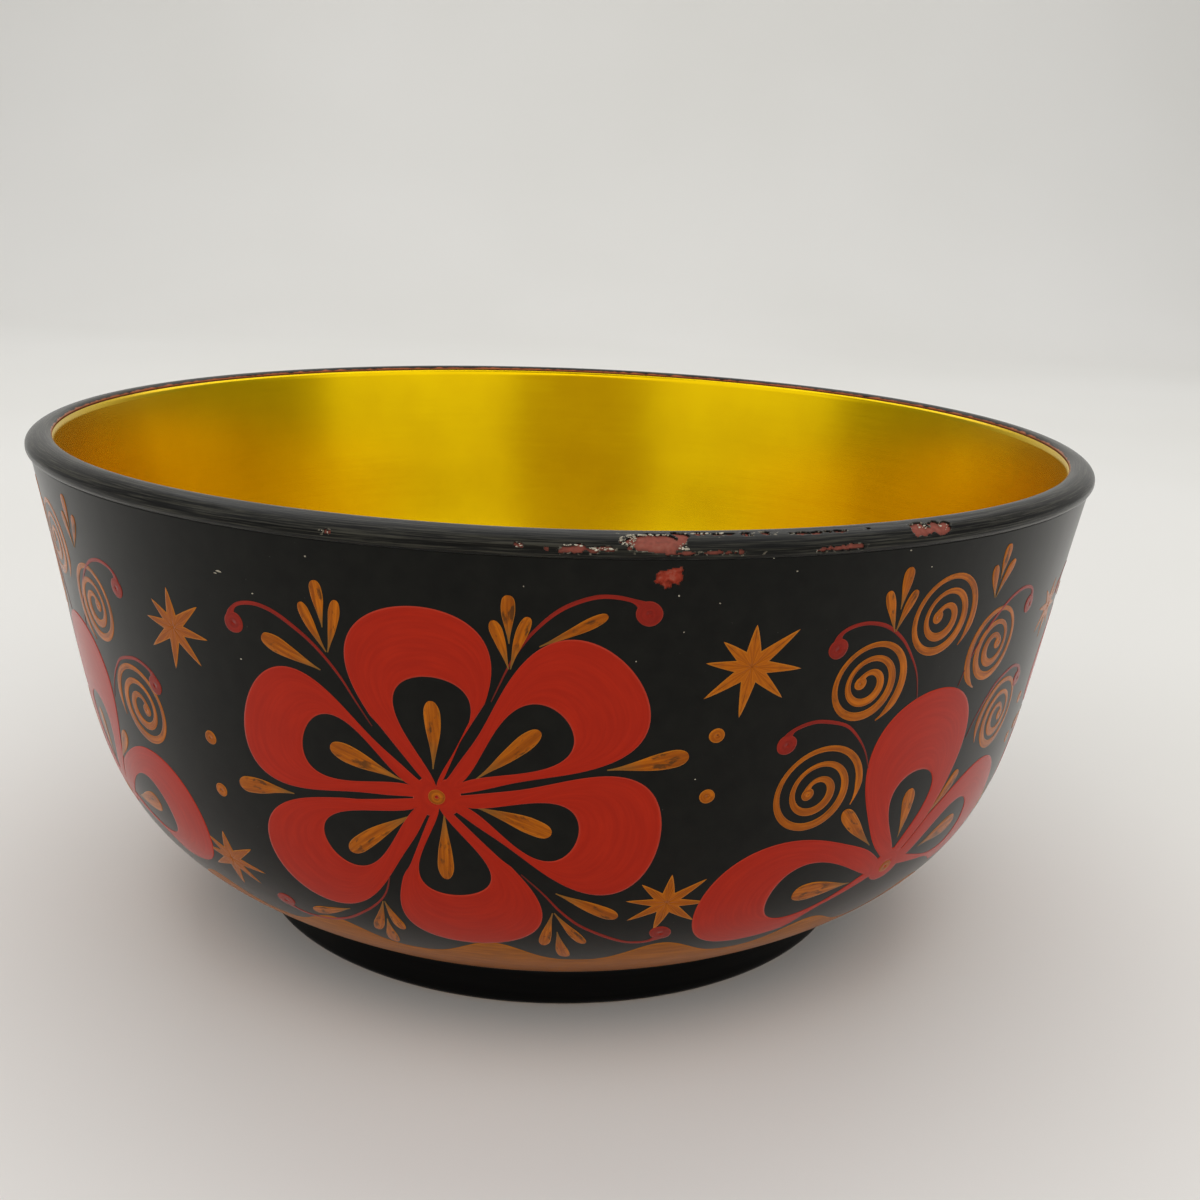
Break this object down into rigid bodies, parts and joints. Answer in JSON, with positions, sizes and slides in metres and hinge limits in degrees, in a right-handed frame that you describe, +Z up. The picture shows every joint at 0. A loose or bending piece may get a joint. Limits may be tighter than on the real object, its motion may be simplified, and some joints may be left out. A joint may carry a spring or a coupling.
{
  "type": "painted bowl",
  "caption": "Turned wooden bowl in the khokhloma manner: gold inside, black outside, with red flowers and ochre coils, leaves and stars.",
  "frame": {"origin": "centre of the foot ring at the surface it stands on", "axes": "+Z up the turning axis, out of the bowl's mouth; -Y towards the front flower, which is 10.4 degrees to the left of -Y"},
  "size_m": [0.161, 0.161, 0.0753],
  "materials": {
    "linden_wood": "turned bare linden, pale and close-grained, smoothed and a little soiled",
    "clay_primer": "red-brown clay and drying-oil primer, matt, seen only where the lacquer has chipped",
    "gold_lacquer": "aluminium powder under baked amber lacquer, satin gold with fine turning lines",
    "black_lacquer": "black oil ground under semi-gloss clear lacquer",
    "black_foot_lacquer": "black oil ground, semi-gloss, rubbed at the standing edge",
    "border_ochre": "brushed ochre oil paint under clear lacquer",
    "cinnabar_red": "cinnabar red oil paint in curved brush strokes under clear lacquer",
    "tendril_red": "thin red line work under clear lacquer",
    "leaf_ochre": "ochre oil paint laid in single loaded strokes under clear lacquer",
    "coil_ochre": "ochre oil paint in coiled line work under clear lacquer"
  },
  "bodies": {
    "root": {"wooden_body": "linden_wood", "primer_coat": "clay_primer", "gold_lining": "gold_lacquer", "rim_band": "black_lacquer", "black_ground": "black_lacquer", "foot_coat": "black_foot_lacquer", "underside_coat": "black_foot_lacquer", "scalloped_border": "border_ochre", "red_petals": "cinnabar_red", "red_tendrils": "tendril_red", "petal_drops": "leaf_ochre", "leaf_sprigs": "leaf_ochre", "ochre_spirals": "coil_ochre", "ochre_stars": "leaf_ochre", "ochre_dots": "coil_ochre"}
  },
  "joints": []
}
